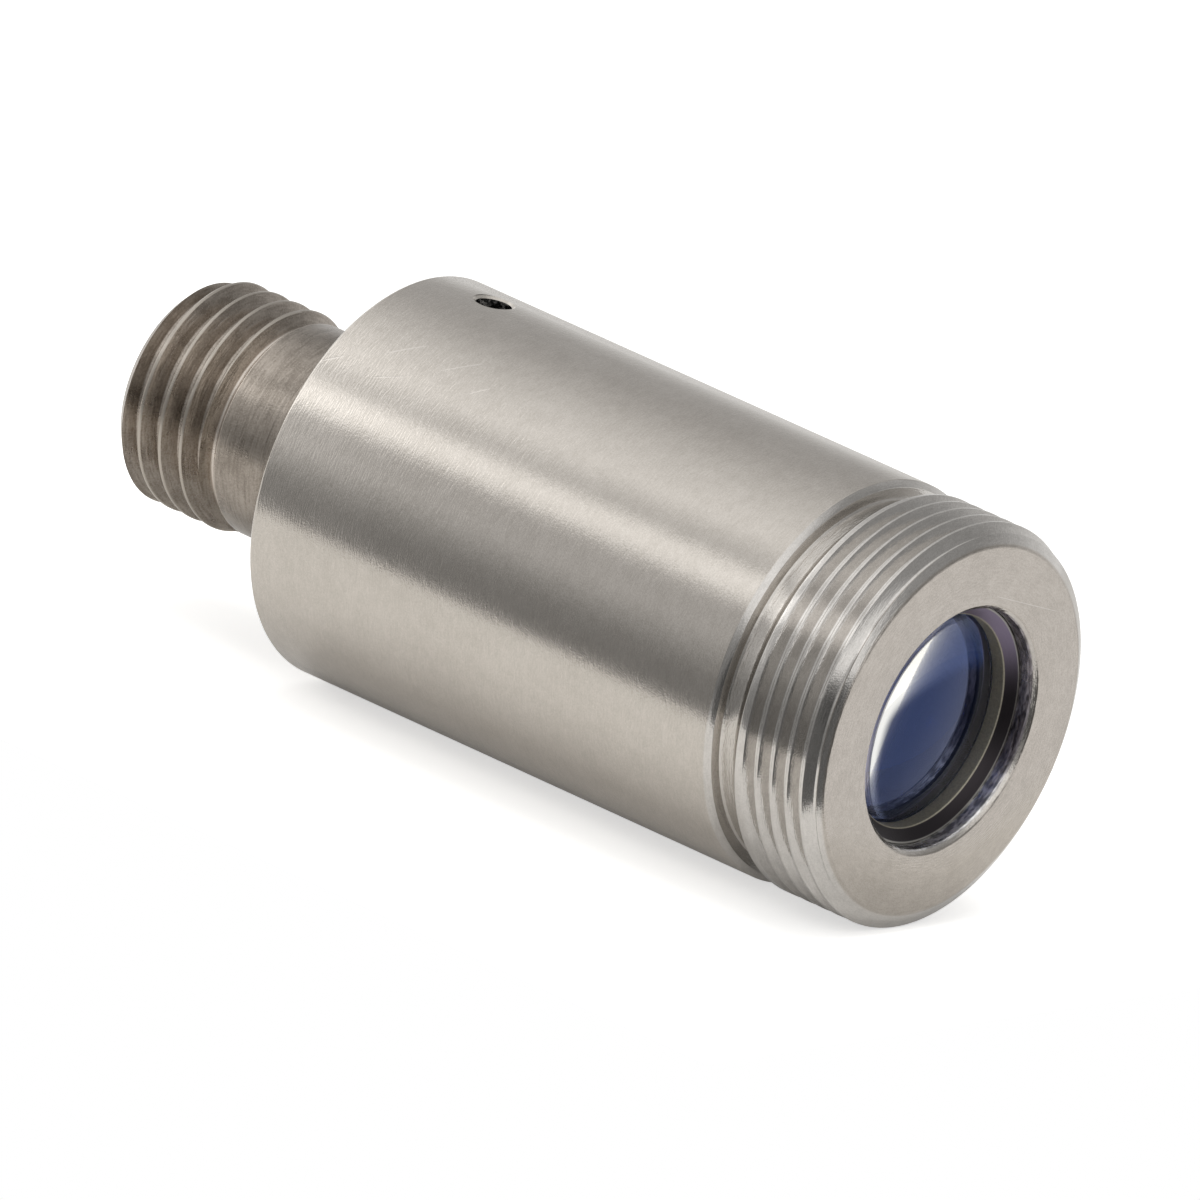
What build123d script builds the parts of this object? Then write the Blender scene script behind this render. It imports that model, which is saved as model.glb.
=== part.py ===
from build123d import *
from math import radians, sqrt, tan
import os

# Fixed-focus fibre collimator: a stainless barrel with an aspheric lens behind its front
# aperture, and a threaded fibre receptacle bonded and clamped in its rear bore.
#
# The optical axis is X and the beam leaves towards +X. X = 0 is the shoulder where an adapter
# on the front thread seats. The set screw comes in from +Z. Lengths are in millimetres.

# Barrel
barrel_diameter = 11.0
barrel_length = 15.6
rear_edge_break = 0.12
shoulder_edge_break = 0.16

# Front thread, M11 x 0.5, with its undercut at the shoulder
crest_below_barrel = 0.02
front_thread_pitch = 0.5
front_thread_length = 3.5
front_chamfer_length = 0.32
front_chamfer_depth = 0.5
undercut_depth = 0.5
undercut_width = 0.46
undercut_corner = 0.15

# Front aperture, and the lens pocket behind it with its seat for the lens
aperture_diameter = 6.54
aperture_chamfer = 0.15
ring_recess = 0.51
lens_seat_width = 0.47

# Lens: a plano-aspheric singlet of about 15 mm focal length, with a flat rim
lens_rim_width = 0.41
lens_rim_thickness = 1.7
lens_vertex_radius = 8.97
lens_conic = -0.4
lens_edge_break = 0.1

# Retaining ring in front of the lens, whose bore clears the curved surface
ring_length = 0.61
ring_beyond_optic = 0.05
ring_front_land = 0.04
ring_cone_depth = 0.24

# Rear bore
rear_bore_depth = 5.9
rear_bore_chamfer = 0.15

# Fibre receptacle, 1/4-36 thread and a 3.175 mm ferrule bore
receptacle_thread_diameter = 6.2
receptacle_thread_pitch = 25.4 / 36
receptacle_reach = 6.8
receptacle_end_chamfer = 0.4
first_groove_from_end = 0.45
receptacle_thread_run = 2.97
runout_depth = 0.3
runout_width = 0.06
runout_ramp = 0.19
neck_depth = 0.17
ferrule_bore_diameter = 3.185
ferrule_mouth_chamfer = 0.25
shank_diameter = 7.0
shank_length = 5.4
shank_recess = 0.2
shank_chamfer = 0.2

# Set screw, M1.2 x 0.25, with a flat point and a hexagon socket
screw_diameter = 1.2
screw_pitch = 0.25
screw_length = 1.6
screw_from_rear = 2.04
screw_point_chamfer = 0.15
socket_across_flats = 0.6
socket_depth = 0.5
screw_hole_chamfer = 0.05

# Radial clearances
pocket_clearance = 0.01
shank_clearance = 0.01
screw_clearance = 0.005

# 60 degree thread form: crest flat, depth and pitch line as shares of the pitch
thread_flank_slope = tan(radians(30))
thread_crest_share = 1 / 8
thread_depth_share = 0.6134
pitch_line_share = 0.3248
cutter_overshoot = 0.05

# Places along the axis
front_face = front_thread_length
barrel_rear = -barrel_length
receptacle_end = barrel_rear - receptacle_reach
ring_front = front_face - ring_recess
lens_rim_front = ring_front - ring_length
lens_seat = lens_rim_front - lens_rim_thickness
rear_bore_end = barrel_rear + rear_bore_depth
shank_rear = barrel_rear + shank_recess
screw_x = barrel_rear + screw_from_rear

# Radii that pieces share
barrel_radius = barrel_diameter / 2
pocket_radius = aperture_diameter / 2
lens_radius = pocket_radius - pocket_clearance
optic_radius = lens_radius - lens_rim_width
shank_radius = shank_diameter / 2
screw_pitch_radius = screw_diameter / 2 - pitch_line_share * screw_pitch


def turned(*outline):
    """Turn a closed outline of (x, radius) points about the optical axis."""
    points = [(x, 0, radius) for x, radius in outline]
    return revolve(make_face(Polyline(*points, close=True)), axis=Axis.X)


def thread_groove(centre, major_radius, pitch):
    """One turned V groove of the thread form, centred at a place along the axis."""
    depth = thread_depth_share * pitch
    half_mouth = (1 - thread_crest_share) * pitch / 2
    half_root = half_mouth - depth * thread_flank_slope
    half_top = half_mouth + cutter_overshoot * thread_flank_slope
    return turned(
        (centre - half_top, major_radius + cutter_overshoot),
        (centre - half_root, major_radius - depth),
        (centre + half_root, major_radius - depth),
        (centre + half_top, major_radius + cutter_overshoot),
    )


def thread_grooves(first, last, major_radius, pitch):
    """The row of grooves, a pitch apart, whose centres lie from first to last."""
    count = int((last - first) / pitch) + 1
    return [thread_groove(first + n * pitch, major_radius, pitch) for n in range(count)]


def make_housing():
    """The barrel, turned from one bar: thread, undercut, lens pocket, light bore, rear bore."""
    thread_radius = barrel_radius - crest_below_barrel
    undercut_radius = barrel_radius - undercut_depth
    ramp_end = undercut_width + thread_radius - undercut_radius
    bar = turned(
        (barrel_rear, 0),
        (barrel_rear, barrel_radius - rear_edge_break),
        (barrel_rear + rear_edge_break, barrel_radius),
        (-shoulder_edge_break, barrel_radius),
        (0, barrel_radius - shoulder_edge_break),
        (0, undercut_radius + undercut_corner),
        (undercut_corner, undercut_radius),
        (undercut_width, undercut_radius),
        (ramp_end, thread_radius),
        (front_face - front_chamfer_length, thread_radius),
        (front_face, thread_radius - front_chamfer_depth),
        (front_face, 0),
    )
    crest = thread_crest_share * front_thread_pitch
    first_groove = ramp_end + (crest + front_thread_pitch) / 2
    bar -= thread_grooves(first_groove, front_face, thread_radius, front_thread_pitch)

    rear_bore_radius = shank_radius + shank_clearance
    light_bore_radius = pocket_radius - lens_seat_width
    bar -= turned(
        (barrel_rear, 0),
        (barrel_rear, rear_bore_radius + rear_bore_chamfer),
        (barrel_rear + rear_bore_chamfer, rear_bore_radius),
        (rear_bore_end, rear_bore_radius),
        (rear_bore_end, light_bore_radius),
        (lens_seat, light_bore_radius),
        (lens_seat, pocket_radius),
        (front_face - aperture_chamfer, pocket_radius),
        (front_face, pocket_radius + aperture_chamfer),
        (front_face, 0),
    )

    hole_radius = screw_pitch_radius + screw_clearance
    hole = Pos(screw_x, 0, 0) * Cylinder(
        hole_radius, barrel_diameter, align=(Align.CENTER, Align.CENTER, Align.MIN)
    )
    mouth = Pos(screw_x, 0, barrel_radius) * Cone(
        hole_radius, hole_radius + 2 * screw_hole_chamfer, 2 * screw_hole_chamfer
    )
    return bar - hole - mouth


def lens_height(radius):
    """How far the aspheric surface falls back from its vertex at a radius."""
    curvature = 1 / lens_vertex_radius
    root = sqrt(1 - (1 + lens_conic) * (curvature * radius) ** 2)
    return curvature * radius**2 / (1 + root)


def lens_slope(radius):
    """How fast the aspheric surface falls back at a radius."""
    curvature = 1 / lens_vertex_radius
    return curvature * radius / sqrt(1 - (1 + lens_conic) * (curvature * radius) ** 2)


def make_aspheric_lens():
    """A moulded glass lens: aspheric towards the beam, flat towards the fibre, flat rim."""
    vertex = lens_rim_front + lens_height(optic_radius)
    steps = 6
    radii = [optic_radius * n / steps for n in range(steps + 1)]
    surface = Spline(
        *[(vertex - lens_height(radius), 0, radius) for radius in radii],
        tangents=[(0, 0, 1), (-lens_slope(optic_radius), 0, 1)],
    )
    rim = Polyline(
        (lens_rim_front, 0, optic_radius),
        (lens_rim_front, 0, lens_radius - lens_edge_break),
        (lens_rim_front - lens_edge_break, 0, lens_radius),
        (lens_seat + lens_edge_break, 0, lens_radius),
        (lens_seat, 0, lens_radius - lens_edge_break),
        (lens_seat, 0, 0),
        (vertex, 0, 0),
    )
    return revolve(make_face([surface, rim]), axis=Axis.X)


def make_lens_retaining_ring():
    """A thin turned ring that holds the lens on its seat, coned towards the aperture."""
    bore_radius = optic_radius + ring_beyond_optic
    outer_radius = pocket_radius - pocket_clearance
    return turned(
        (lens_rim_front, bore_radius),
        (lens_rim_front, outer_radius),
        (ring_front, outer_radius),
        (ring_front, outer_radius - ring_front_land),
        (ring_front - ring_cone_depth, bore_radius),
    )


def make_fibre_receptacle():
    """The connector body: thread, run-out and neck outside, plain shank in the barrel."""
    thread_radius = receptacle_thread_diameter / 2
    runout_radius = thread_radius - runout_depth
    neck_radius = thread_radius - neck_depth
    bore_radius = ferrule_bore_diameter / 2
    shank_front = shank_rear + shank_length
    thread_end = receptacle_end + receptacle_thread_run
    runout_start = thread_end + (thread_radius - runout_radius) * thread_flank_slope
    runout_end = runout_start + runout_width
    body = turned(
        (receptacle_end, bore_radius + ferrule_mouth_chamfer),
        (receptacle_end, thread_radius - receptacle_end_chamfer),
        (receptacle_end + receptacle_end_chamfer, thread_radius),
        (thread_end, thread_radius),
        (runout_start, runout_radius),
        (runout_end, runout_radius),
        (runout_end + runout_ramp, neck_radius),
        (shank_rear, neck_radius),
        (shank_rear, shank_radius - shank_chamfer),
        (shank_rear + shank_chamfer, shank_radius),
        (shank_front - shank_chamfer, shank_radius),
        (shank_front, shank_radius - shank_chamfer),
        (shank_front, bore_radius),
        (receptacle_end + ferrule_mouth_chamfer, bore_radius),
    )
    first_groove = receptacle_end + first_groove_from_end
    last_groove = thread_end - receptacle_thread_pitch / 2
    return body - thread_grooves(
        first_groove, last_groove, thread_radius, receptacle_thread_pitch
    )


def make_set_screw():
    """The socket set screw that clamps the shank, at the pitch diameter of its thread."""
    from_below = (Align.CENTER, Align.CENTER, Align.MIN)
    screw = Cylinder(screw_pitch_radius, screw_length, align=from_below)
    point = screw.edges().filter_by(GeomType.CIRCLE).sort_by(Axis.Z)[0]
    screw = chamfer(point, screw_point_chamfer)
    socket = extrude(
        RegularPolygon(socket_across_flats / 2, 6, major_radius=False), socket_depth
    )
    screw -= Pos(0, 0, screw_length - socket_depth) * socket
    return Pos(screw_x, 0, shank_radius) * screw


pieces = {
    "housing": make_housing(),
    "aspheric_lens": make_aspheric_lens(),
    "lens_retaining_ring": make_lens_retaining_ring(),
    "fibre_receptacle": make_fibre_receptacle(),
    "set_screw": make_set_screw(),
}

os.makedirs("parts", exist_ok=True)
for name, piece in pieces.items():
    export_step(piece, f"parts/{name}.step")
    print(f"{name}: {piece.volume:.3f} mm3, valid {piece.is_valid}")
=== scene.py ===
import math

import bmesh
import bpy
from mathutils import Matrix, Vector


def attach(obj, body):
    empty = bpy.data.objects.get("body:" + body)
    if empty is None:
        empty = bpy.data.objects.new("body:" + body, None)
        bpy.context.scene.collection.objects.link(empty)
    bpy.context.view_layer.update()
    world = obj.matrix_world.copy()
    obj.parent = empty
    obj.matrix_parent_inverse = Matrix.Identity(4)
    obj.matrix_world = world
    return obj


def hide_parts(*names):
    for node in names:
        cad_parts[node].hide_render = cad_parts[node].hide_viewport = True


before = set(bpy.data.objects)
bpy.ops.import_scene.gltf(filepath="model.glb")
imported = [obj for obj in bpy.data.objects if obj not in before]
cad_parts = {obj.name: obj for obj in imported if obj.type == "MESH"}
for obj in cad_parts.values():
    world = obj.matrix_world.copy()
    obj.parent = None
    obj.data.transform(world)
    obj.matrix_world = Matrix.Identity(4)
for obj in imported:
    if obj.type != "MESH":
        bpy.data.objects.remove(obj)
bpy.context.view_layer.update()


# Housing
# The barrel is one bar of stainless steel, turned all over, with an M11 x 0.5 thread and its
# undercut at the front, the lens pocket behind the aperture and a bore for the receptacle at
# the rear. A tapped hole near the rear holds the set screw. Lengths are drawn in millimetres.

barrel_radius = 5.5
barrel_rear = -15.6
front_face = 3.5
rear_edge_break = 0.12
shoulder_edge_break = 0.16

undercut_radius = 5.0
undercut_end = 0.51
ramp_end = 0.89
front_crest_radius = 5.48
front_pitch = 0.5
front_thread_start = 0.95
front_thread_turns = 6
front_crest_break = 0.01
chamfer_length = 0.32
chamfer_depth = 0.5

aperture_radius = 3.27
aperture_chamfer = 0.15
lens_seat = 0.68
light_bore_radius = 2.8
rear_bore_end = -9.7
rear_bore_radius = 3.51
rear_bore_chamfer = 0.15

screw_x = -13.56
screw_radius = 0.6
screw_pitch = 0.25
tapped_radius = 0.48
hole_bottom = 3.0
hole_mouth_low = 5.42
hole_mouth_high = 5.48
hole_mouth_radius = 0.56
hole_tool_top = 6.0

# 60 degree thread form: crest flat and depth as shares of the pitch
thread_crest_share = 1 / 8
thread_depth_share = 0.6134

# How finely outlines are turned, rounded, merged and smoothed
turning_steps = 192
small_turning_steps = 64
round_segments = 3
merge_distance = 0.0005
smooth_angle = math.radians(24)


def deselect():
    """Leave object mode's selection empty, because an operator acts on all that is selected."""
    bpy.ops.object.select_all(action="DESELECT")


def choose(piece):
    """Make a piece the only one that is selected and active."""
    deselect()
    piece.select_set(True)
    bpy.context.view_layer.objects.active = piece


def edit_all(piece):
    """Go into edit mode with the whole of a piece selected."""
    choose(piece)
    bpy.ops.object.mode_set(mode="EDIT")
    bpy.ops.mesh.select_mode(type="VERT")
    bpy.ops.mesh.select_all(action="SELECT")


def draw_outline(name, corners):
    """Draw a chain of (x, z) points, each with the radius of its round where it has one."""
    deselect()
    bpy.ops.mesh.primitive_plane_add(size=1)
    piece = bpy.context.object
    piece.name = name
    piece.data.name = name
    edit_all(piece)
    bpy.ops.mesh.merge(type="CENTER")
    place = Vector((corners[0][0], 0, corners[0][1]))
    bpy.ops.transform.translate(value=place)
    for corner in corners[1:]:
        step = Vector((corner[0], 0, corner[1])) - place
        bpy.ops.mesh.extrude_vertices_move(TRANSFORM_OT_translate={"value": step})
        place += step
    bpy.ops.mesh.select_all(action="SELECT")
    bpy.ops.mesh.remove_doubles(threshold=merge_distance)
    for corner in corners:
        if len(corner) == 3:
            round_corner(piece, corner)
    bpy.ops.object.mode_set(mode="OBJECT")
    return piece


def round_corner(piece, corner):
    """Round one corner of an outline that is in edit mode."""
    place = Vector((corner[0], 0, corner[1]))
    shape = bmesh.from_edit_mesh(piece.data)
    for vertex in shape.verts:
        vertex.select = (vertex.co - place).length < 2 * merge_distance
    shape.select_flush_mode()
    bmesh.update_edit_mesh(piece.data)
    bpy.ops.mesh.bevel(offset=corner[2], segments=round_segments, affect="VERTICES")


def sweep(piece, axis="X", lead=0.0, turns=1, steps=turning_steps):
    """Turn an outline about an axis through the origin, or along a thread with a lead."""
    choose(piece)
    lathe = piece.modifiers.new("Lathe", "SCREW")
    lathe.axis = axis
    lathe.screw_offset = lead
    lathe.iterations = turns
    lathe.steps = steps
    lathe.render_steps = steps
    lathe.use_merge_vertices = lead == 0
    lathe.merge_threshold = merge_distance
    bpy.ops.object.modifier_apply(modifier="Lathe")
    edit_all(piece)
    bpy.ops.mesh.remove_doubles(threshold=merge_distance)
    if lead:
        bpy.ops.mesh.fill_holes(sides=0)
        bpy.ops.mesh.select_all(action="SELECT")
    bpy.ops.mesh.normals_make_consistent(inside=False)
    bpy.ops.object.mode_set(mode="OBJECT")
    return piece


def cut(piece, tool, operation="DIFFERENCE"):
    """Cut a piece with a tool, or join the tool to it, and clear the tool away."""
    choose(piece)
    boolean = piece.modifiers.new("Cut", "BOOLEAN")
    boolean.operation = operation
    boolean.solver = "EXACT"
    boolean.object = tool
    bpy.ops.object.modifier_apply(modifier="Cut")
    bpy.data.objects.remove(tool)


def slide(piece, x, y, z):
    """Move all of a piece's mesh."""
    edit_all(piece)
    bpy.ops.transform.translate(value=(x, y, z))
    bpy.ops.object.mode_set(mode="OBJECT")


def finish_piece(piece, node, material):
    """Bring a piece from millimetres to metres, smooth it and put it in its node's place."""
    edit_all(piece)
    bpy.ops.transform.resize(value=(0.001, 0.001, 0.001), center_override=(0, 0, 0))
    bpy.ops.object.mode_set(mode="OBJECT")
    bpy.ops.object.shade_smooth_by_angle(angle=smooth_angle)
    piece.data.materials.clear()
    piece.data.materials.append(material)
    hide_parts(node)
    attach(piece, "root")


def thread_cutter(name, start, crest_radius, pitch, turns, side, edge_break):
    """A helical cutter with a 60 degree point, which also breaks the edges of the crests.

    It starts above the axis where its side is 1, and below the axis where its side is -1.
    """
    slope = math.tan(math.radians(30))
    depth = thread_depth_share * pitch
    half_mouth = (1 - thread_crest_share) * pitch / 2
    half_root = half_mouth - depth * slope
    root_round = half_root * 0.8
    half_flare = half_mouth - edge_break * slope
    overshoot = 2.5 * edge_break
    half_top = half_flare + overshoot * math.tan(math.radians(60))
    root = crest_radius - depth
    outline = [
        (start - half_top, crest_radius - edge_break + overshoot),
        (start - half_flare, crest_radius - edge_break),
        (start - half_root, root, root_round),
        (start + half_root, root, root_round),
        (start + half_flare, crest_radius - edge_break),
        (start + half_top, crest_radius - edge_break + overshoot),
        (start - half_top, crest_radius - edge_break + overshoot),
    ]
    outline = [(corner[0], corner[1] * side) + corner[2:] for corner in outline]
    return sweep(draw_outline(name, outline), "X", pitch, turns)


housing = draw_outline("housing_turned", [
    (barrel_rear, rear_bore_radius + rear_bore_chamfer, 0.02),
    (barrel_rear, barrel_radius - rear_edge_break, 0.04),
    (barrel_rear + rear_edge_break, barrel_radius, 0.04),
    (-shoulder_edge_break, barrel_radius, 0.02),
    (0, barrel_radius - shoulder_edge_break, 0.02),
    (0, undercut_radius, 0.13),
    (undercut_end, undercut_radius, 0.08),
    (ramp_end, front_crest_radius, 0.02),
    (front_face - chamfer_length, front_crest_radius, 0.03),
    (front_face, front_crest_radius - chamfer_depth, 0.04),
    (front_face, aperture_radius + aperture_chamfer, 0.02),
    (front_face - aperture_chamfer, aperture_radius, 0.02),
    (lens_seat, aperture_radius),
    (lens_seat, light_bore_radius, 0.02),
    (rear_bore_end, light_bore_radius),
    (rear_bore_end, rear_bore_radius),
    (barrel_rear + rear_bore_chamfer, rear_bore_radius),
    (barrel_rear, rear_bore_radius + rear_bore_chamfer),
])
sweep(housing)

# The thread starts at the undercut, half a turn from the set screw, and leaves at the face.
cut(housing, thread_cutter(
    "front_thread_tool", front_thread_start, front_crest_radius, front_pitch,
    front_thread_turns, -1, front_crest_break))

hole_tool = draw_outline("hole_tool", [
    (0, hole_bottom),
    (tapped_radius, hole_bottom),
    (tapped_radius, hole_mouth_low),
    (hole_mouth_radius, hole_mouth_high),
    (hole_mouth_radius, hole_tool_top),
    (0, hole_tool_top),
])
sweep(hole_tool, "Z", steps=small_turning_steps)


def thread_ridge(name, crest, half_crest, foot, half_foot, low, turns):
    """A helical ridge of the M1.2 x 0.25 thread, about the Z axis and upwards from low.

    The crest and the foot are each given by a radius and half a width.
    """
    return sweep(draw_outline(name, [
        (foot, low - half_foot),
        (crest, low - half_crest),
        (crest, low + half_crest),
        (foot, low + half_foot),
        (foot, low - half_foot),
    ]), "Z", screw_pitch, turns, small_turning_steps)


cut(hole_tool, thread_ridge(
    "tap", crest=screw_radius, half_crest=0.025, foot=0.42, half_foot=0.105, low=3.2,
    turns=8), "UNION")
slide(hole_tool, screw_x, 0, 0)
cut(housing, hole_tool)


class Wire:
    """The output of a shader node, on which Python's operators add Math nodes."""

    def __init__(self, finish, socket):
        self.finish = finish
        self.socket = socket

    def maths(self, operation, *values):
        return self.finish.node("ShaderNodeMath", {"operation": operation},
                                dict(enumerate(values)))

    def __add__(self, other):
        return self.maths("ADD", self, other)

    __radd__ = __add__

    def __sub__(self, other):
        return self.maths("SUBTRACT", self, other)

    def __rsub__(self, other):
        return self.maths("SUBTRACT", other, self)

    def __mul__(self, other):
        return self.maths("MULTIPLY", self, other)

    __rmul__ = __mul__

    def __truediv__(self, other):
        return self.maths("DIVIDE", self, other)

    def __pow__(self, other):
        return self.maths("POWER", self, other)

    def rise(self, low, high):
        """Nought below the low value, one above the high one and smooth between them."""
        return self.finish.node("ShaderNodeMapRange", {"interpolation_type": "SMOOTHSTEP"},
                                {"Value": self, "From Min": low, "From Max": high})

    def fall(self, low, high):
        """One below the low value, nought above the high one and smooth between them."""
        return 1.0 - self.rise(low, high)


class Finish:
    """The node tree of one finish, to which nodes are added one at a time."""

    def __init__(self, tree):
        self.tree = tree
        self.tree.nodes.clear()

    def node(self, kind, settings, sockets, output=0):
        """Add a node: first its settings, then the values or links of its sockets."""
        added = self.tree.nodes.new(kind)
        for name, value in settings.items():
            if name == "stops":
                self.set_stops(added.color_ramp, value)
            else:
                setattr(added, name, value)
        for name, value in sockets.items():
            if isinstance(value, Wire):
                self.tree.links.new(value.socket, added.inputs[name])
            else:
                added.inputs[name].default_value = value
        return Wire(self, added.outputs[output]) if len(added.outputs) else None

    def set_stops(self, ramp, stops):
        """Give a colour ramp its stops, each a place from 0 to 1 and a grey level."""
        while len(ramp.elements) < len(stops):
            ramp.elements.new(1.0)
        for element, (place, level) in zip(ramp.elements, stops):
            element.position = place
            element.color = (level, level, level, 1.0)

    def blend(self, share, one, two):
        """A mix of two colours."""
        return self.node("ShaderNodeMix", {"data_type": "RGBA"}, {0: share, 6: one, 7: two}, 2)

    def noise(self, vector, detail=2.0, roughness=0.5, w=0.0):
        """Noise on a vector that is already scaled."""
        return self.node("ShaderNodeTexNoise", {"noise_dimensions": "4D"},
                         {"Vector": vector, "W": w, "Scale": 1.0, "Detail": detail,
                          "Roughness": roughness})


class Steel(Finish):
    """Turned stainless steel, whose tool marks run round the optical axis."""

    def __init__(self, name):
        self.material = bpy.data.materials.new(name)
        self.material.use_nodes = True
        super().__init__(self.material.node_tree)
        metres = self.node("ShaderNodeTexCoord", {}, {}, "Object")
        self.place = self.node("ShaderNodeVectorMath", {"operation": "SCALE"},
                               {"Vector": metres, "Scale": 1000.0})
        split = self.node("ShaderNodeSeparateXYZ", {}, {"Vector": self.place})
        outputs = split.socket.node.outputs
        self.x = Wire(self, outputs["X"])
        self.y = Wire(self, outputs["Y"])
        self.z = Wire(self, outputs["Z"])
        self.radius = (self.y * self.y + self.z * self.z) ** 0.5
        self.around = self.y.maths("ARCTAN2", self.y, self.z) * barrel_radius

    def round_marks(self, per_mm, length, detail=2.0, seed=0.0):
        """Marks round the axis: how many there are to a millimetre, and how long each is."""
        vector = self.node("ShaderNodeCombineXYZ", {}, {
            "X": self.x * per_mm, "Y": self.radius * per_mm, "Z": self.y / length})
        return self.noise(vector, detail, 0.6, self.z / length + seed)

    def scratch(self, u, v, start, end, width=0.03):
        """A straight hairline from start to end, on two coordinates in millimetres.

        It fades out at both ends.
        """
        run = Vector(end) - Vector(start)
        length = run.length
        run.normalize()
        along = (u - start[0]) * run[0] + (v - start[1]) * run[1]
        across = u.maths("ABSOLUTE", (u - start[0]) * run[1] - (v - start[1]) * run[0])
        return along.rise(-0.1, 0.2) * along.fall(length - 0.2, length + 0.1) * across.fall(0.0, width)

    def clouds(self, size, detail=3.0, seed=0.0):
        """Soft patches of a size in millimetres."""
        vector = self.node("ShaderNodeVectorMath", {"operation": "SCALE"},
                           {"Vector": self.place, "Scale": 1 / size})
        return self.noise(vector, detail, 0.55, seed)

    def surface(self, colour, roughness, height, depth):
        """The metal itself, with a height in millimetres of relief at full height."""
        relief = self.node("ShaderNodeBump", {}, {
            "Height": height, "Strength": 1.0, "Distance": depth * 0.001})
        metal = self.node("ShaderNodeBsdfPrincipled", {}, {
            "Base Color": colour, "Roughness": roughness, "Metallic": 1.0, "Normal": relief})
        self.node("ShaderNodeOutputMaterial", {}, {"Surface": metal})
        return self.material


def grey(*colour):
    """A metal's grey, or another colour, that is fully opaque."""
    return colour + (1.0,)


barrel_finish = Steel("barrel_satin_steel")
grain = barrel_finish.clouds(0.045, 1.0)
ticks = barrel_finish.round_marks(22, 0.26, 1.0, seed=3.0)
turning_marks = barrel_finish.round_marks(9, 2.5, 1.0, seed=5.0)
mottle = barrel_finish.clouds(0.4, 2.0, seed=1.0)
patches = barrel_finish.clouds(2.5, 2.0, seed=8.0)
barrel_tone = grain * 0.35 + ticks * 0.25 + turning_marks * 0.05 + mottle * 0.2 + patches * 0.15
barrel_tone = barrel_tone.rise(0.33, 0.67)
satin_colour = barrel_finish.blend(
    barrel_tone, grey(0.49, 0.455, 0.411), grey(0.605, 0.566, 0.519))

# From the shoulder forward the cuts are brighter, most of all on the thread. The front face is a
# little darker.
along = barrel_finish.x
around = barrel_finish.around
polished_colour = barrel_finish.blend(
    barrel_tone, grey(0.53, 0.508, 0.48), grey(0.67, 0.645, 0.615))
polish = along.rise(-0.17, -0.13) * (0.4 + barrel_finish.radius.rise(5.02, 5.1) * 0.6)
face_colour = barrel_finish.blend(
    barrel_tone, grey(0.40, 0.367, 0.327), grey(0.53, 0.487, 0.442))
barrel_colour = barrel_finish.blend(polish, satin_colour, polished_colour)
barrel_colour = barrel_finish.blend(along.rise(3.44, 3.48), barrel_colour, face_colour)

# The aperture's wall is streaked round the axis; its lower part, which faces up to the light, has
# painted highlights and its upper part painted shade. The lens pocket behind it is dull and
# painted a dim purple as shade, and the bores behind the lens are painted black as shade.
wall_streaks = barrel_finish.round_marks(7, 0.35, 2.0, seed=11.0)
# The wall's upper part is painted dark as shade, and its lower part painted bright as highlights.
painted_shade_wall_top = barrel_finish.blend(
    wall_streaks.rise(0.35, 0.65), grey(0.13, 0.118, 0.124), grey(0.42, 0.385, 0.41))
painted_highlight_wall_bottom = barrel_finish.blend(
    wall_streaks.rise(0.35, 0.65), grey(0.35, 0.34, 0.34), grey(0.97, 0.96, 0.95))
streaked_wall_painted_light = barrel_finish.blend(barrel_finish.z.rise(-2.3, -0.9), painted_highlight_wall_bottom, painted_shade_wall_top)
within = barrel_finish.radius.fall(3.29, 3.33)
rough_wall = barrel_finish.radius.fall(3.38, 3.44)
barrel_colour = barrel_finish.blend(within, barrel_colour, streaked_wall_painted_light)
# The lens pocket is painted a dim purple as shade.
barrel_colour = barrel_finish.blend(
    within * along.fall(2.3, 2.5), barrel_colour, grey(0.3, 0.25, 0.44))
# The bore behind the lens is painted near black as shade.
barrel_colour = barrel_finish.blend(
    within * along.fall(0.6, 0.67), barrel_colour, grey(0.05, 0.045, 0.05))

# The thread of the screw hole is painted dark as shade, with painted glints as bright flecks, up to
# its mouth.
from_hole = ((along - screw_x) ** 2.0 + barrel_finish.y ** 2.0) ** 0.5
in_hole = from_hole.fall(0.62, 0.65) * barrel_finish.z.rise(4.0, 4.2)
in_hole = in_hole * barrel_finish.z.fall(5.4, hole_mouth_low)
painted_glints_in_hole = barrel_finish.clouds(0.13, 1.0, seed=14.0).rise(0.46, 0.56)
# Painted shade in the hole, with painted glints scattered over it.
hole_painted_shade_and_glints = barrel_finish.blend(painted_glints_in_hole, grey(0.1, 0.1, 0.1), grey(0.95, 0.94, 0.93))
barrel_colour = barrel_finish.blend(in_hole, barrel_colour, hole_painted_shade_and_glints)

# Hairline scratches near the rear edge and one on the front face, as handling leaves them.
hairlines = [
    barrel_finish.scratch(along, around, (-15.45, -4.75), (-15.0, -4.4)),
    barrel_finish.scratch(along, around, (-14.0, -3.79), (-13.2, -3.05)),
    barrel_finish.scratch(along, around, (-13.77, -4.56), (-13.0, -4.18)),
    barrel_finish.scratch(along, around, (-12.3, -3.6), (-11.5, -2.85)),
    barrel_finish.scratch(along, around, (-11.16, -3.93), (-10.7, -3.45)),
    barrel_finish.scratch(barrel_finish.y, barrel_finish.z, (0.6, 3.6), (3.3, 2.95), 0.02)
    * along.rise(3.4, 3.45),
]
hairline = sum(hairlines)
barrel_colour = barrel_finish.blend(hairline * 0.5, barrel_colour, grey(0.72, 0.68, 0.64))

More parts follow.
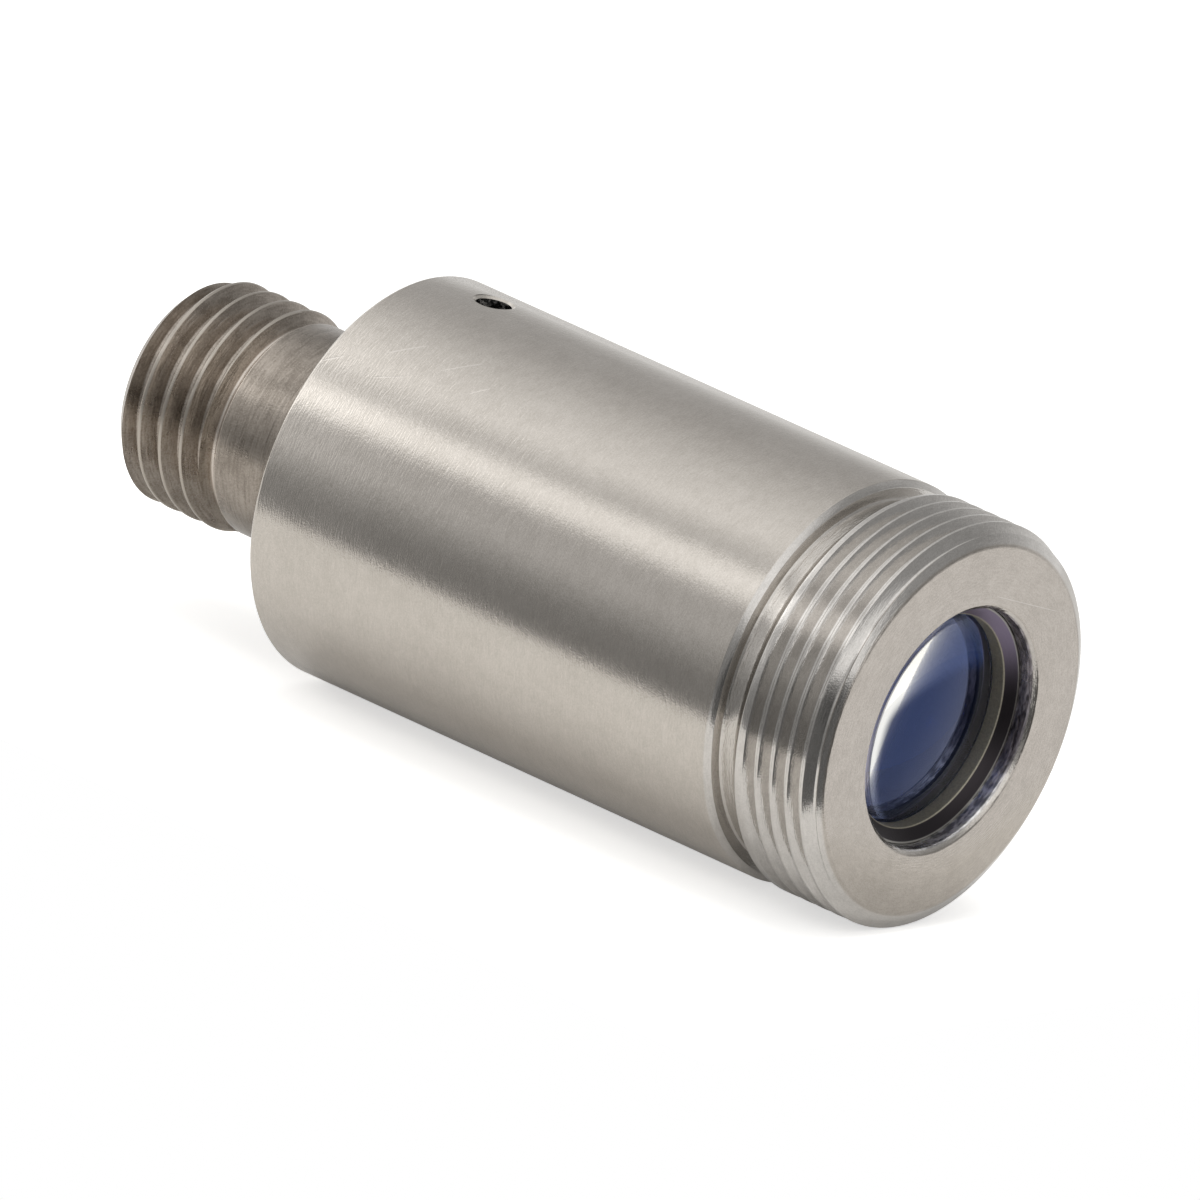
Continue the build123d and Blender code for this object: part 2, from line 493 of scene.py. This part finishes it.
# The top of the thread is a little rough with burrs, and the aperture's edge is the roughest.
burrs = barrel_finish.clouds(0.12, 1.0, seed=6.0)
burrs = burrs * along.rise(0.9, 1.0) * barrel_finish.z.rise(4.5, 5.0)
barrel_relief = (grain * 0.6 + ticks * 1.4) * (1.0 - polish * 0.4)
barrel_relief = barrel_relief + burrs - hairline + wall_streaks * rough_wall * 6.0
barrel_roughness = patches * 0.05 + 0.17 - polish * 0.05 + within * 0.1
barrel_material = barrel_finish.surface(barrel_colour, barrel_roughness, barrel_relief, 0.0034)
finish_piece(housing, "housing", barrel_material)


# Aspheric lens
# A moulded plano-aspheric singlet of dense glass, about 15 mm in focal length. Its curved side
# faces the beam, and a blue-violet anti-reflection coating covers both sides.

lens_rim_front = 2.38
lens_radius = 3.26
optic_radius = 2.85
vertex_radius = 8.97
conic = -0.4
lens_edge_round = 0.1
curve_steps = 40


def lens_height(radius):
    """How far the aspheric surface falls back from its vertex at a radius."""
    curvature = 1 / vertex_radius
    root = math.sqrt(1 - (1 + conic) * (curvature * radius) ** 2)
    return curvature * radius ** 2 / (1 + root)


lens_vertex = lens_rim_front + lens_height(optic_radius)
curve_radii = [optic_radius * n / curve_steps for n in range(curve_steps + 1)]
lens_outline = [(lens_vertex - lens_height(radius), radius) for radius in curve_radii]
lens_outline += [
    (lens_rim_front, lens_radius, lens_edge_round),
    (lens_seat, lens_radius, lens_edge_round),
    (lens_seat, 0),
    (lens_vertex, 0),
]
lens = sweep(draw_outline("lens_coated", lens_outline))

lens_material = bpy.data.materials.new("coated_glass")
lens_material.use_nodes = True
lens_finish = Finish(lens_material.node_tree)
glass = lens_finish.node("ShaderNodeBsdfPrincipled", {}, {
    "Base Color": grey(0.97, 0.98, 1.0),
    "Roughness": 0.0,
    "IOR": 1.77,
    "Transmission Weight": 1.0,
    "Specular IOR Level": 0.62,
    "Specular Tint": grey(0.03, 0.2, 1.0),
})
lens_finish.node("ShaderNodeOutputMaterial", {}, {"Surface": glass})
finish_piece(lens, "aspheric_lens", lens_material)


# Lens retaining ring
# A thin ring turned from the same steel and bonded in front of the lens's rim. Its front is a
# cone towards the aperture, and its bore clears the curved glass.

ring_front = 2.99
ring_bore_radius = 2.9
ring_outer_radius = 3.26
ring_land_radius = 3.22
ring_cone_depth = 0.24

ring = sweep(draw_outline("retaining_ring", [
    (lens_rim_front, ring_bore_radius),
    (lens_rim_front, ring_outer_radius),
    (ring_front, ring_outer_radius, 0.01),
    (ring_front, ring_land_radius, 0.01),
    (ring_front - ring_cone_depth, ring_bore_radius, 0.015),
    (lens_rim_front, ring_bore_radius),
]))
ring_finish = Steel("ring_turned_steel")
ring_marks = ring_finish.round_marks(25, 5.0)
ring_specks = ring_finish.clouds(0.06, 1.0, seed=12.0)

# The bore is brownish, the cone is painted dark as shade and painted lighter and purplish above as
# light, and the land a plain grey.
cone = ring_finish.radius.rise(2.91, 2.94)
land = ring_finish.radius.rise(3.19, ring_land_radius)
painted_light_above = ring_finish.z.rise(0.3, 2.6)
ring_colour = ring_finish.blend(ring_specks, grey(0.30, 0.28, 0.22), grey(0.56, 0.52, 0.42))
# The cone's painted shade, painted lighter towards the top as light.
cone_painted_shade = ring_finish.blend(painted_light_above, grey(0.04, 0.035, 0.038), grey(0.18, 0.15, 0.21))
ring_colour = ring_finish.blend(cone, ring_colour, cone_painted_shade)
ring_colour = ring_finish.blend(land, ring_colour, grey(0.32, 0.31, 0.29))
ring_material = ring_finish.surface(
    ring_colour, 0.5 - cone * 0.2 + ring_marks * 0.1, ring_marks + ring_specks, 0.003)
finish_piece(ring, "lens_retaining_ring", ring_material)


# Fibre receptacle
# The connector's threaded body, turned from a slightly browner steel: a 1/4-36 thread, its
# run-out and a neck outside, the ferrule bore inside, and a plain shank clamped in the barrel.

receptacle_end = -22.4
receptacle_crest_radius = 3.1
receptacle_pitch = 25.4 / 36
receptacle_thread_start = -22.715
receptacle_thread_turns = 5
receptacle_crest_break = 0.02
end_chamfer = 0.4
thread_end = -19.43
runout_start = thread_end + 0.2
runout_end = thread_end + 0.24
runout_radius = 2.72
neck_start = thread_end + 0.43
neck_radius = 2.93
neck_groove = -17.45
neck_groove_depth = 0.02
neck_groove_floor = 0.06
neck_groove_mouth = 0.14
shank_rear = -15.4
shank_front = -10.0
shank_radius = 3.5
shank_chamfer = 0.2
ferrule_radius = 1.5925
ferrule_mouth_chamfer = 0.25

receptacle = sweep(draw_outline("fibre_receptacle_turned", [
    (receptacle_end, ferrule_radius + ferrule_mouth_chamfer, 0.02),
    (receptacle_end, receptacle_crest_radius - end_chamfer, 0.03),
    (receptacle_end + end_chamfer, receptacle_crest_radius, 0.03),
    (thread_end, receptacle_crest_radius, 0.03),
    (runout_start, runout_radius, 0.04),
    (runout_end, runout_radius, 0.02),
    (neck_start, neck_radius, 0.03),
    (neck_groove - neck_groove_mouth / 2, neck_radius),
    (neck_groove - neck_groove_floor / 2, neck_radius - neck_groove_depth),
    (neck_groove + neck_groove_floor / 2, neck_radius - neck_groove_depth),
    (neck_groove + neck_groove_mouth / 2, neck_radius),
    (shank_rear, neck_radius, 0.05),
    (shank_rear, shank_radius - shank_chamfer, 0.02),
    (shank_rear + shank_chamfer, shank_radius, 0.02),
    (shank_front - shank_chamfer, shank_radius, 0.02),
    (shank_front, shank_radius - shank_chamfer, 0.02),
    (shank_front, ferrule_radius),
    (receptacle_end + ferrule_mouth_chamfer, ferrule_radius, 0.02),
    (receptacle_end, ferrule_radius + ferrule_mouth_chamfer),
]))

# The tool enters beyond the end face and stops in the run-out groove.
cut(receptacle, thread_cutter(
    "receptacle_thread_tool", receptacle_thread_start, receptacle_crest_radius,
    receptacle_pitch, receptacle_thread_turns, 1, receptacle_crest_break))

receptacle_finish = Steel("receptacle_turned_steel")
specks = receptacle_finish.clouds(0.05, 1.0, seed=9.0)
short_rings = receptacle_finish.round_marks(18, 0.6, 1.0, seed=2.0)
stains = receptacle_finish.clouds(0.8, seed=4.0)
receptacle_tone = (specks * 0.3 + short_rings * 0.3 + stains * 0.4).rise(0.36, 0.64)

# The neck is darker than the thread, the thread's crests are worn bright, the ramp between them
# has a painted highlight, and the far end inside the barrel is painted black as shade.
receptacle_colour = receptacle_finish.blend(
    receptacle_tone, grey(0.255, 0.22, 0.186), grey(0.46, 0.41, 0.36))
on_neck = receptacle_finish.x.rise(-19.0, -18.95)
neck_colour = receptacle_finish.blend(
    receptacle_tone, grey(0.23, 0.2, 0.17), grey(0.385, 0.342, 0.298))
receptacle_colour = receptacle_finish.blend(on_neck, receptacle_colour, neck_colour)
crest_wear = receptacle_finish.radius.rise(3.07, 3.095)
receptacle_colour = receptacle_finish.blend(
    crest_wear, receptacle_colour, grey(0.45, 0.41, 0.36))
# A painted highlight on the ramp from the run-out to the neck.
ramp_painted_highlight = receptacle_finish.x.rise(-19.27, -19.22) * receptacle_finish.x.fall(-19.0, -18.95)
receptacle_colour = receptacle_finish.blend(
    ramp_painted_highlight, receptacle_colour, grey(0.62, 0.56, 0.5))
# The far end inside the barrel is painted near black as shade.
receptacle_colour = receptacle_finish.blend(
    receptacle_finish.x.rise(-10.2, -10.05), receptacle_colour, grey(0.05, 0.045, 0.05))
receptacle_relief = specks + short_rings * 1.5
receptacle_material = receptacle_finish.surface(
    receptacle_colour, stains * 0.08 + 0.24, receptacle_relief, 0.004)
finish_piece(receptacle, "fibre_receptacle", receptacle_material)


# Set screw
# A headless M1.2 x 0.25 screw of plain steel with a hexagon socket and a flat point. It is
# screwed in from the top and clamps the shank in the barrel.

screw_foot = 3.5
screw_top = 5.1
screw_core_radius = 0.44
screw_point_chamfer = 0.14
screw_top_chamfer = 0.06
socket_across_flats = 0.6
socket_depth = 0.5

set_screw = sweep(draw_outline("set_screw_threaded", [
    (0, screw_foot),
    (screw_core_radius - screw_point_chamfer, screw_foot, 0.02),
    (screw_core_radius, screw_foot + screw_point_chamfer),
    (screw_core_radius, screw_top - screw_top_chamfer),
    (screw_core_radius - screw_top_chamfer, screw_top, 0.01),
    (0, screw_top),
]), "Z", steps=small_turning_steps)
cut(set_screw, thread_ridge(
    "screw_thread", crest=screw_radius - 0.015, half_crest=0.015, foot=0.41, half_foot=0.095,
    low=3.8, turns=4), "UNION")

deselect()
bpy.ops.mesh.primitive_cylinder_add(
    vertices=6, radius=socket_across_flats / math.sqrt(3), depth=2 * socket_depth)
socket_tool = bpy.context.object
slide(socket_tool, 0, 0, screw_top)
cut(set_screw, socket_tool)
slide(set_screw, screw_x, 0, 0)

screw_finish = Steel("screw_plain_steel")
screw_marks = screw_finish.clouds(0.15, seed=7.0)
screw_colour = screw_finish.blend(screw_marks, grey(0.28, 0.27, 0.26), grey(0.44, 0.43, 0.41))
screw_material = screw_finish.surface(screw_colour, screw_marks * 0.2 + 0.25, screw_marks, 0.01)
finish_piece(set_screw, "set_screw", screw_material)


# Floor, studio light and camera
# A pale card under the barrel, ending a little in front of it and to its right, inside a tent of
# light whose brightness changes round the optical axis and which is open, and so dark, where the
# beam leaves. A soft box hangs above. The camera is far off, with a long lens. These sizes are in
# metres.

floor_front = -0.015
floor_right = 0.009
floor_width = 0.6
floor_depth = 0.6
deselect()
bpy.ops.mesh.primitive_plane_add(size=1)
floor = bpy.context.object
floor.name = "floor"
edit_all(floor)
bpy.ops.transform.resize(value=(floor_width, floor_depth, 1.0))
bpy.ops.transform.translate(value=(
    floor_right - floor_width / 2, floor_front + floor_depth / 2, -barrel_radius * 0.001))
bpy.ops.object.mode_set(mode="OBJECT")
floor_material = bpy.data.materials.new("pale_card")
floor_material.use_nodes = True
card = Finish(floor_material.node_tree)

# The card is painted greyer far behind the barrel, as shade where the light falls off; only the
# barrel's edge mirrors it. It glows to the camera, which sees it white, and a little to the metal and
# the glass. It keeps the shadow.
card_place = card.node("ShaderNodeTexCoord", {}, {}, "Object")
depth_back = card.node("ShaderNodeSeparateXYZ", {}, {"Vector": card_place}, 1)
# Painted shade: the card falls off to grey far behind the barrel.
card_painted_falloff = card.blend(
    depth_back.rise(0.012, 0.035), grey(0.80, 0.79, 0.77), grey(0.60, 0.59, 0.575))
paper = card.node("ShaderNodeBsdfDiffuse", {}, {"Color": card_painted_falloff})
camera_ray = card.node("ShaderNodeLightPath", {}, {}, "Is Camera Ray")
glossy_ray = Wire(card, camera_ray.socket.node.outputs["Is Glossy Ray"])
glass_ray = Wire(card, camera_ray.socket.node.outputs["Is Transmission Ray"])
glow = camera_ray * 0.585 + glossy_ray * 0.099 + glass_ray * 0.225
lift = card.node("ShaderNodeEmission", {}, {"Color": grey(1.0, 1.0, 1.0), "Strength": glow})
lit_card = card.node("ShaderNodeAddShader", {}, {0: paper, 1: lift})
card.node("ShaderNodeOutputMaterial", {}, {"Surface": lit_card})
floor.data.materials.append(floor_material)

# Light levels by the angle round the optical axis from straight up, positive to the back and
# negative to the camera. The first list is for the tent's middle and rear, which light the
# barrel, and the second for its front, which lights the front face and the lens.
tent_levels = [
    (-180, 0.75), (-138, 0.72), (-126, 0.62), (-118, 0.3), (-111, 0.2), (-96, 0.25), (-86, 0.4),
    (-76, 0.6), (-58, 0.52), (-51, 1.4), (-40, 1.42), (-35, 0.62), (-26, 0.9), (-18, 1.18),
    (-8, 1.04), (6, 0.9), (22, 0.7), (40, 0.52), (62, 0.48), (74, 0.64), (91, 0.97),
    (104, 0.68), (180, 0.85),
]
front_levels = [
    (-180, 0.75), (-130, 0.7), (-117, 0.45), (-112, 0.22), (-96, 0.22), (-75, 0.3), (-62, 0.6),
    (-52, 1.15), (-20, 1.15), (0, 1.0), (12, 0.7), (28, 0.32), (60, 0.3), (85, 0.65), (100, 1.02),
    (180, 1.0),
]
opening = Vector((0.92, -0.25, -0.35)).normalized()

world = bpy.data.worlds.new("studio")
world.use_nodes = True
bpy.context.scene.world = world
studio = Finish(world.node_tree)
direction = studio.node("ShaderNodeTexCoord", {}, {}, "Generated")
split = studio.node("ShaderNodeSeparateXYZ", {}, {"Vector": direction}).socket.node.outputs
towards = [Wire(studio, split[name]) for name in "XYZ"]
angle = towards[1].maths("ARCTAN2", towards[1], towards[2])
turn_share = angle / math.tau + 0.5


def level_ramp(levels):
    """The light levels round the axis, halved so that they fit between nought and one."""
    stops = [((degrees + 180) / 360, level / 2) for degrees, level in levels]
    return studio.node("ShaderNodeValToRGB", {"stops": stops}, {"Fac": turn_share})


# The tent is brighter at its rear end and dark at its opening.
tent = studio.blend(towards[0].rise(0.1, 0.5), level_ramp(tent_levels), level_ramp(front_levels))
rearward = (0.0 - towards[0]).rise(0.64, 0.74)
nearness = sum(part * share for part, share in zip(towards, opening))
tent_light = studio.node("ShaderNodeBackground", {}, {
    "Color": tent, "Strength": 2.0 + rearward * 1.4 - nearness.rise(0.88, 0.95) * 1.75})

# The camera sees a white backdrop, and the metal a little of it. What comes back out of the glass
# meets a white tent with a dark front, which leaves a white crescent on the blue lens.
backdrop = studio.node("ShaderNodeBackground", {}, {"Color": grey(1.0, 1.0, 1.0), "Strength": 1.0})
camera_ray = studio.node("ShaderNodeLightPath", {}, {}, "Is Camera Ray")
glossy_ray = Wire(studio, camera_ray.socket.node.outputs["Is Glossy Ray"])
glass_ray = Wire(studio, camera_ray.socket.node.outputs["Is Transmission Ray"])
outward = towards[0].rise(0.36, 0.5) * (towards[0] + towards[2] * 1.2).rise(0.0, 0.28)
glass_light = studio.node("ShaderNodeBackground", {}, {
    "Color": grey(1.0, 1.0, 1.0), "Strength": 1.0 - outward * 0.93})
surroundings = studio.node("ShaderNodeMixShader", {}, {
    0: camera_ray + glossy_ray * 0.05, 1: tent_light, 2: backdrop})
surroundings = studio.node("ShaderNodeMixShader", {}, {
    0: glass_ray * 0.95, 1: surroundings, 2: glass_light})
studio.node("ShaderNodeOutputWorld", {}, {"Surface": surroundings})

lamp_data = bpy.data.lights.new("soft_box", "AREA")
lamp_data.size = 0.4
lamp_data.energy = 0.9
lamp = bpy.data.objects.new("soft_box", lamp_data)
lamp.location = (-0.05, 0, 0.5)
lamp.visible_glossy = False
bpy.context.scene.collection.objects.link(lamp)

# The camera aims near the barrel's middle. Its angles, distance and lens were fitted to the
# barrel's outline.
azimuth = math.radians(35.4836)
elevation = math.radians(16.0850)
roll = math.radians(13.2338)
aim = Vector((-8.00976, -0.22359, -0.63188)) * 0.001
distance = 1.059
turn = Matrix.Rotation(azimuth, 4, "Z") @ Matrix.Rotation(math.pi / 2 - elevation, 4, "X")
back = turn @ Vector((0, 0, 1))
camera_data = bpy.data.cameras.new("camera")
camera_data.sensor_width = 36.0
camera_data.lens = 1238.75
camera = bpy.data.objects.new("camera", camera_data)
bpy.context.scene.collection.objects.link(camera)
camera.matrix_world = Matrix.Translation(aim + back * distance) @ turn @ Matrix.Rotation(roll, 4, "Z")
bpy.context.scene.camera = camera

bpy.context.scene.view_settings.view_transform = "Standard"
